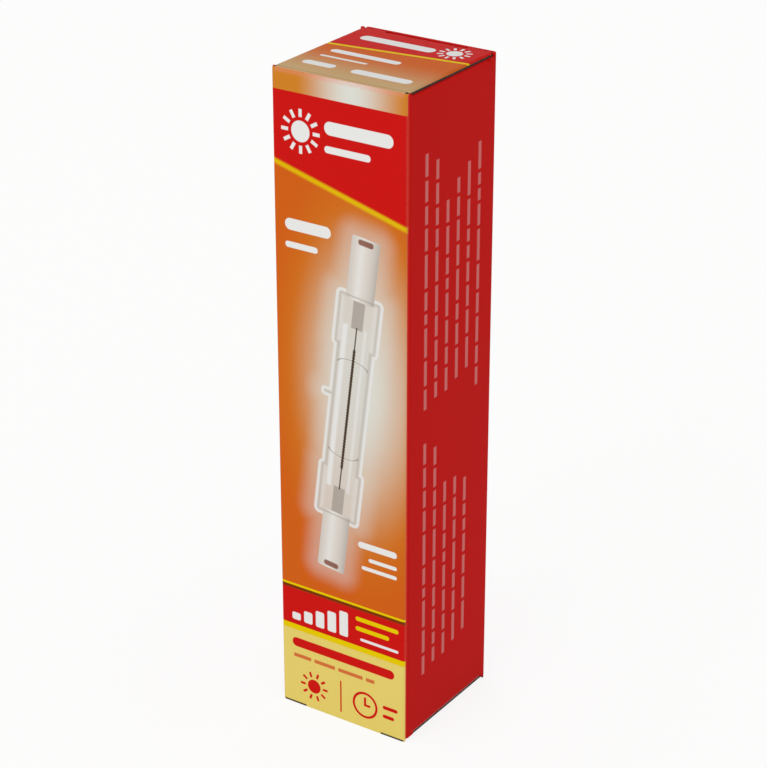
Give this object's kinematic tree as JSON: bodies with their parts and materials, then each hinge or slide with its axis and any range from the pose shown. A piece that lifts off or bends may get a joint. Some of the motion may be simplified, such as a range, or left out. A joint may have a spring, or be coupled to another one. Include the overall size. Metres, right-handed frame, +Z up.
{
  "type": "tuck-end lamp carton",
  "caption": "Slim square card carton with hinged tuck lids at both ends, holding a double-ended halogen lamp in a corrugated sleeve.",
  "frame": {"origin": "middle of the carton's base, on the surface it stands on", "axes": "+Z up along the carton, -Y out of the printed front, +X out of its right side"},
  "size_m": [0.022, 0.022, 0.0985],
  "materials": {
    "printed_card": "satin varnish",
    "sleeve_card": "matte",
    "quartz": "clear",
    "cap_ceramic": "matte",
    "contact_metal": "satin",
    "seal_metal": "satin",
    "filament_wire": "satin"
  },
  "bodies": {
    "carton": {"carton_body": "printed_card", "corrugated_sleeve": "sleeve_card", "quartz_envelope": "quartz", "filament": "filament_wire", "filament_supports": "filament_wire", "lower_cap": "cap_ceramic", "lower_contact": "contact_metal", "lower_outer_lead": "seal_metal", "lower_foil": "seal_metal", "lower_inner_lead": "seal_metal", "upper_cap": "cap_ceramic", "upper_contact": "contact_metal", "upper_outer_lead": "seal_metal", "upper_foil": "seal_metal", "upper_inner_lead": "seal_metal"},
    "top_lid": {"top_lid": "printed_card"},
    "bottom_lid": {"bottom_lid": "printed_card"}
  },
  "joints": [
    {"name": "top_lid_hinge", "type": "hinge", "parent": "carton", "child": "top_lid", "pos_m": [0, -0.0105, 0.098], "axis": [1, 0, 0], "range_deg": [0, 120]},
    {"name": "bottom_lid_hinge", "type": "hinge", "parent": "carton", "child": "bottom_lid", "pos_m": [0, 0.0105, 0.0005], "axis": [1, 0, 0], "range_deg": [0, 120]}
  ]
}
